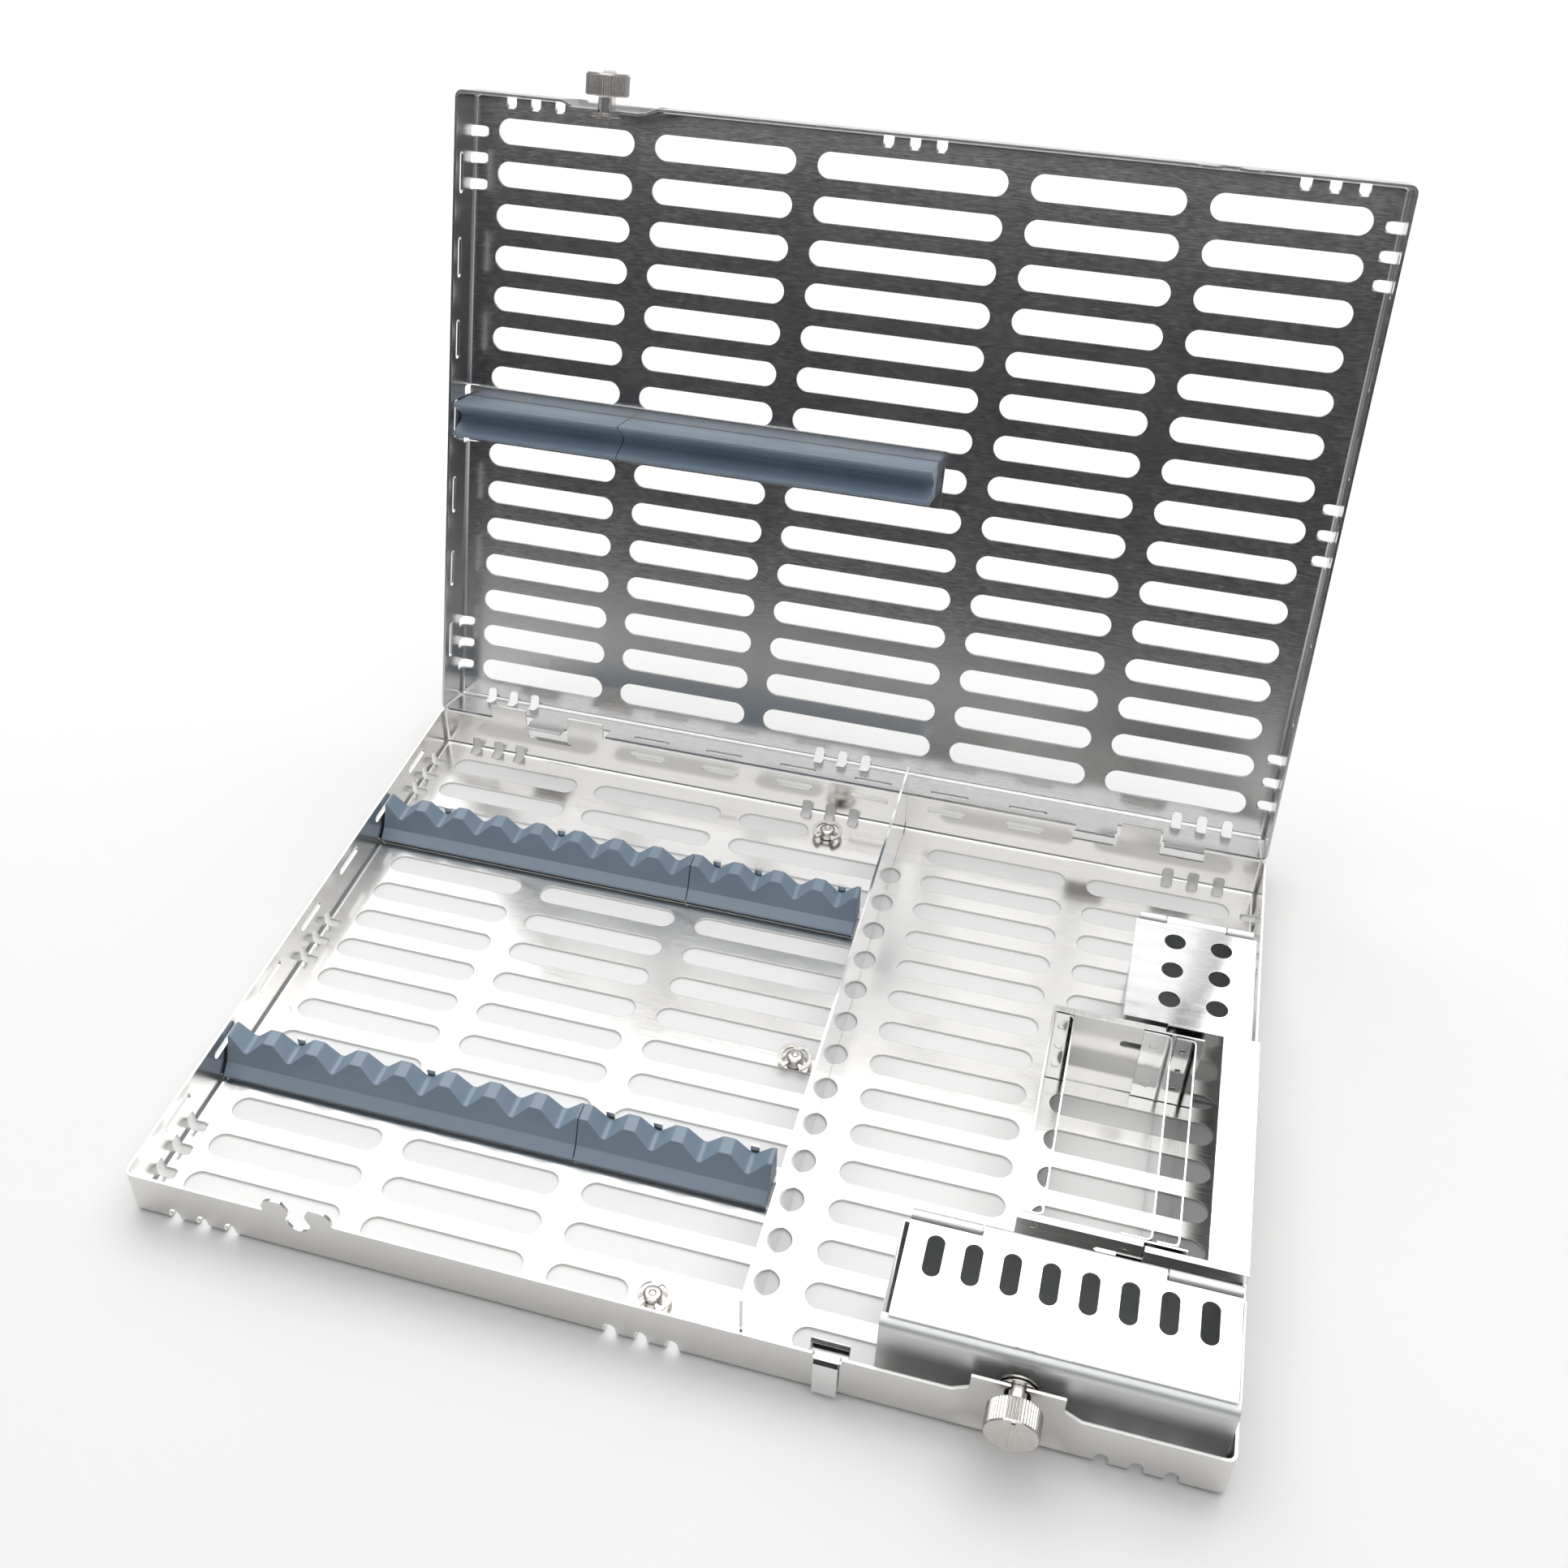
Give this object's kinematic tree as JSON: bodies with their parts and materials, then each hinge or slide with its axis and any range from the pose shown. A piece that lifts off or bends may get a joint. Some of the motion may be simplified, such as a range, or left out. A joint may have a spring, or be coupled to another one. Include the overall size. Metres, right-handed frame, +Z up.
{
  "type": "instrument tray",
  "caption": "Hinged perforated steel tray with quarter-turn latches, silicone rails, a divider and small accessory boxes for sterilising hand instruments.",
  "frame": {"origin": "under the middle of the open tray's bounding box, on the surface it stands on", "axes": "+Z up, +Y from the latched front edge to the hinge, +X to the right along the hinge; the lid is open at rest"},
  "size_m": [0.2794, 0.2862, 0.2206],
  "materials": {
    "brushed_steel": "brushed stainless sheet",
    "polished_steel": "bright stainless steel",
    "silicone": "matt moulded silicone, blue-grey"
  },
  "bodies": {
    "base": {"base_tray": "brushed_steel", "divider": "polished_steel", "front_rail_left": "silicone", "front_rail_right": "silicone", "front_rail_carrier": "brushed_steel", "back_rail_left": "silicone", "back_rail_right": "silicone", "back_rail_carrier": "brushed_steel", "front_stud": "polished_steel", "front_stud_clip": "brushed_steel", "middle_stud": "polished_steel", "middle_stud_clip": "brushed_steel", "back_stud": "polished_steel", "back_stud_clip": "brushed_steel", "wall_clip": "polished_steel", "bur_box_body": "brushed_steel", "bur_box_hinge_pin": "polished_steel", "slotted_box_body": "brushed_steel", "slotted_box_hinge_pin": "polished_steel", "parts_box_sleeve": "brushed_steel", "parts_box_front_rivet": "polished_steel", "parts_box_back_rivet": "polished_steel"},
    "base_latch": {"base_knob": "brushed_steel", "base_knob_stem": "polished_steel", "base_knob_spring_washer": "polished_steel", "base_knob_ring": "polished_steel"},
    "lid": {"lid_tray": "brushed_steel", "lid_rail_left": "silicone", "lid_rail_right": "silicone", "lid_rail_carrier": "brushed_steel"},
    "lid_latch": {"lid_knob": "brushed_steel", "lid_knob_stem": "polished_steel", "lid_knob_spring_washer": "polished_steel", "lid_knob_ring": "polished_steel"},
    "bur_box_cover": {"bur_box_lid": "polished_steel"},
    "slotted_box_cover": {"slotted_box_lid": "polished_steel"},
    "parts_drawer": {"parts_box_drawer": "brushed_steel", "parts_box_partition_1": "polished_steel", "parts_box_partition_2": "polished_steel", "parts_box_partition_3": "polished_steel"}
  },
  "joints": [
    {"name": "lid_hinge", "type": "hinge", "parent": "base", "child": "lid", "pos_m": [0, 0.0689, 0.01535], "axis": [1, 0, 0], "range_deg": [0, 106.94]},
    {"name": "base_latch_turn", "type": "hinge", "parent": "base", "child": "base_latch", "pos_m": [0.0903, -0.1323, 0.0173], "axis": [0, 1, 0], "range_deg": [0, 90]},
    {"name": "lid_latch_turn", "type": "hinge", "parent": "lid", "child": "lid_latch", "pos_m": [-0.0903, 0.12566, 0.20839], "axis": [0, -0.2914, -0.9566], "range_deg": [0, 90]},
    {"name": "bur_box_cover_hinge", "type": "hinge", "parent": "base", "child": "bur_box_cover", "pos_m": [0.11895, 0.021, 0.0272], "axis": [1, 0, 0], "range_deg": [-100, 0]},
    {"name": "slotted_box_cover_hinge", "type": "hinge", "parent": "base", "child": "slotted_box_cover", "pos_m": [0.0975, -0.0982, 0.0272], "axis": [1, 0, 0], "range_deg": [-95, 0]},
    {"name": "parts_box_slide", "type": "slide", "parent": "base", "child": "parts_drawer", "axis": [1, 0, 0], "range_m": [0, 0.013]}
  ]
}
